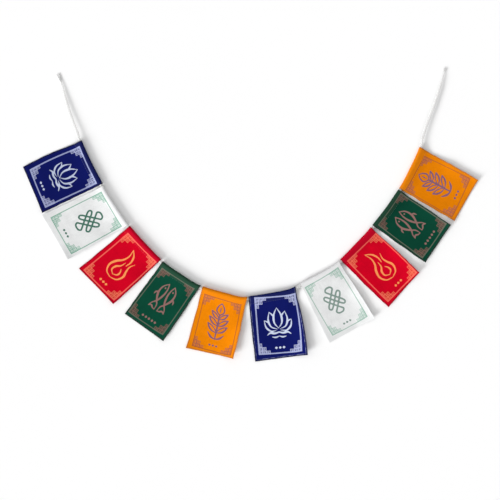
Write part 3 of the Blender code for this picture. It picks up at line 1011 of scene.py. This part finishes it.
def make_flag(route, flag):
    """One flag: a closed sheet with both its faces, its sleeve and its cut edges."""
    sheet = Sheet(route, flag)
    number, colour = flag["number"], flag["colour"]
    offset = sheet.normals * CLOTH / 2.0
    layers = (sheet.places - offset, sheet.places + offset)
    places = np.concatenate([layer.reshape(-1, 3) for layer in layers])
    over = sheet.x.size
    grid = np.arange(over).reshape(sheet.x.shape)
    rings = np.stack((grid[:-1, :-1], grid[:-1, 1:], grid[1:, 1:], grid[1:, :-1]), axis=-1)
    faces = []
    for ring in rings.reshape(-1, 4).tolist():
        faces.append([over + point for point in ring])
        faces.append(ring[::-1])
    rim = np.concatenate((grid[:, 0], grid[-1, 1:], grid[-2::-1, -1], grid[0, -2:0:-1])).tolist()
    for first, second in zip(rim, rim[1:] + rim[:1]):
        faces.append((over + first, over + second, second, first))

    cloth = add_mesh(f"cloth_{number}_{colour}", places, faces, cloth_material(number, colour))
    cloth.data.set_sharp_from_angle(angle=math.radians(SHARP_ANGLE))
    p, q = print_places(number, sheet.x, sheet.down)
    ink = ink_distance(colour, p, q)
    both = np.ones((2, 1, 1, 1))
    store(cloth, "cloth", np.stack((sheet.x, sheet.down, sheet.edge), axis=-1) * both)
    store(cloth, "print", np.stack((p, q, ink), axis=-1) * both)
    store(cloth, "front", np.arange(2.0).reshape(2, 1, 1) * np.ones(p.shape), "FLOAT")
    return cloth, sheet


def tubes(paths, radii):
    """Closed thin tubes along several paths, as places, faces, and (length, angle) for each place."""
    places, faces, marks = [], [], []
    sides = TUBE_SIDES
    angles = 2.0 * math.pi * np.arange(sides) / sides
    for path, radius in zip(paths, radii):
        first = sum(len(block) for block in places)
        along = unit(np.gradient(path, axis=0))
        side = unit(np.cross(along, (0.13, 0.21, 0.97)))
        up = np.cross(side, along)
        thickness = np.broadcast_to(radius, len(path))[:, None, None]
        ring = (side[:, None] * np.cos(angles)[:, None] + up[:, None] * np.sin(angles)[:, None]) * thickness
        places.append((path[:, None] + ring).reshape(-1, 3))
        lengths = np.concatenate(([0.0], np.cumsum(np.linalg.norm(np.diff(path, axis=0), axis=1))))
        grid = np.broadcast_arrays(lengths[:, None], angles[None, :], np.zeros((1, 1)))
        marks.append(np.stack(grid, axis=-1).reshape(-1, 3))
        faces += tube_faces(first, len(path), sides)
        last = first + (len(path) - 1) * sides
        faces.append(tuple(first + point for point in reversed(range(sides))))
        faces.append(tuple(last + point for point in range(sides)))
    return np.vstack(places), faces, np.vstack(marks)


def make_stitches(sheet, flag, material):
    """The seam that closes the sleeve: a row of short stitches, each a bowed piece of thread."""
    reach = sheet.width / 2.0 - STITCH_MARGIN
    count = int(2.0 * reach / STITCH_PITCH)
    paths = []
    for index in range(count):
        start = -reach + index * STITCH_PITCH + sheet.random.uniform(-STITCH_SHIFT, STITCH_SHIFT)
        share = np.linspace(0.0, 1.0, STITCH_POINTS)
        x = start + share * STITCH_LENGTH
        down = SEAM + sheet.random.uniform(-STITCH_STRAY, STITCH_STRAY) + STITCH_STRAY * share
        places, normals = sheet.find(x, down)
        rise = CLOTH / 2.0 - STITCH_SINK + STITCH_BOW * np.sin(math.pi * share) ** 0.6
        paths.append(places + normals * rise[:, None])
    places, faces, marks = tubes(paths, [THREAD_RADIUS] * count)
    name = "stitches_{number}_{colour}".format(**flag)
    stitches = add_mesh(name, places, faces, material)
    store(stitches, "thread", marks)
    return stitches


def make_floor():
    half = FLOOR_SIDE / 2.0 / MM
    corners = [(-half, -half, 0.0), (half, -half, 0.0), (half, half, 0.0), (-half, half, 0.0)]
    floor = add_mesh("floor", corners, [(0, 1, 2, 3)], floor_material())


def make_light():
    for name, values in LIGHTS.items():
        lamp = row(LIGHT_COLUMNS, values)
        height = math.radians(lamp["height"])
        data = bpy.data.lights.new(name, "SUN")
        data.angle = math.radians(lamp["spread"])
        data.energy = lamp["level"] * math.pi / math.sin(height)
        light = bpy.data.objects.new(name, data)
        light.rotation_euler = (math.pi / 2.0 - height, 0.0, math.radians(lamp["azimuth"] + 90.0))
        bpy.context.scene.collection.objects.link(light)
    world = bpy.data.worlds.new("surround")
    world.use_nodes = True
    background = world.node_tree.nodes["Background"]
    background.inputs["Color"].default_value = (1.0, 1.0, 1.0, 1.0)
    background.inputs["Strength"].default_value = SURROUND_LEVEL
    bpy.context.scene.world = world
    bpy.context.scene.view_settings.view_transform = "Standard"


def main():
    make_camera()
    line = CordLine(Route(ROUTE))
    route = line.route
    cord = make_cord(line, cord_material("cord"))
    loose = cord_material("loose_cord")
    ends = [make_cord_end(line, name, loose) for name in CORD_ENDS]
    for piece in (cord, *ends):
        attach(piece, BODY)
    tuple(line.at(np.zeros(1))[0] * MM)
    (line.at(np.linspace(0.0, route.length, CORD_PATH_POINTS)) * MM).tolist()

    threads = {colour: thread_material(colour) for colour in LOOKS}
    for values in FLAGS:
        flag = row(FLAG_COLUMNS, values)
        cloth, sheet = make_flag(route, flag)
        stitches = make_stitches(sheet, flag, threads[flag["colour"]])
        for piece in (cloth, stitches):
            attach(piece, BODY)
        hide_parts("flag_{number}_{colour}".format(**flag))
    make_floor()
    make_light()


main()
